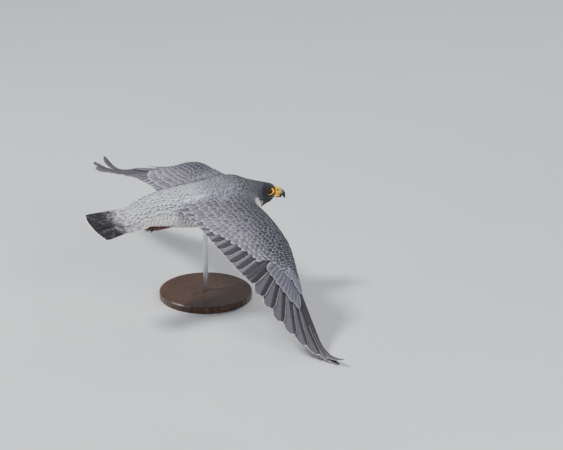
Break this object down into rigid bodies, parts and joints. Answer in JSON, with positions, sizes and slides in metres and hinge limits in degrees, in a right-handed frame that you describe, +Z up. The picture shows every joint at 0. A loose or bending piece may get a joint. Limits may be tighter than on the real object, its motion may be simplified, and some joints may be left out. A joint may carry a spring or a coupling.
{
  "type": "peregrine falcon",
  "caption": "Life-size falcon in level flight with spread wings, on a rod over a round display base.",
  "frame": {"origin": "centre of the display base's underside", "axes": "+X the way the bird heads, +Y its left wing, +Z up"},
  "size_m": [0.4342, 0.9045, 0.2441],
  "materials": {
    "dark_plumage": "matte feathers",
    "grey_plumage": "matte feathers",
    "pale_plumage": "matte feathers",
    "horn": "satin horn",
    "yellow_skin": "waxy bare skin",
    "eye": "wet gloss",
    "foot_skin": "scaled skin",
    "base_wood": "satin lacquer",
    "rod_steel": "brushed"
  },
  "bodies": {
    "root": {"bill_lower": "yellow_skin", "bill_upper": "horn", "cere": "yellow_skin", "eye_left": "eye", "eye_right": "eye", "foot_left": "foot_skin", "foot_right": "foot_skin", "head": "dark_plumage", "neck": "dark_plumage", "shank_left": "foot_skin", "shank_right": "foot_skin", "stand_base": "base_wood", "stand_rod": "rod_steel", "tail": "grey_plumage", "thigh_left": "pale_plumage", "thigh_right": "pale_plumage", "torso": "grey_plumage", "wing_left_arm": "grey_plumage", "wing_left_hand": "grey_plumage", "wing_right_arm": "grey_plumage", "wing_right_hand": "grey_plumage"}
  },
  "joints": []
}
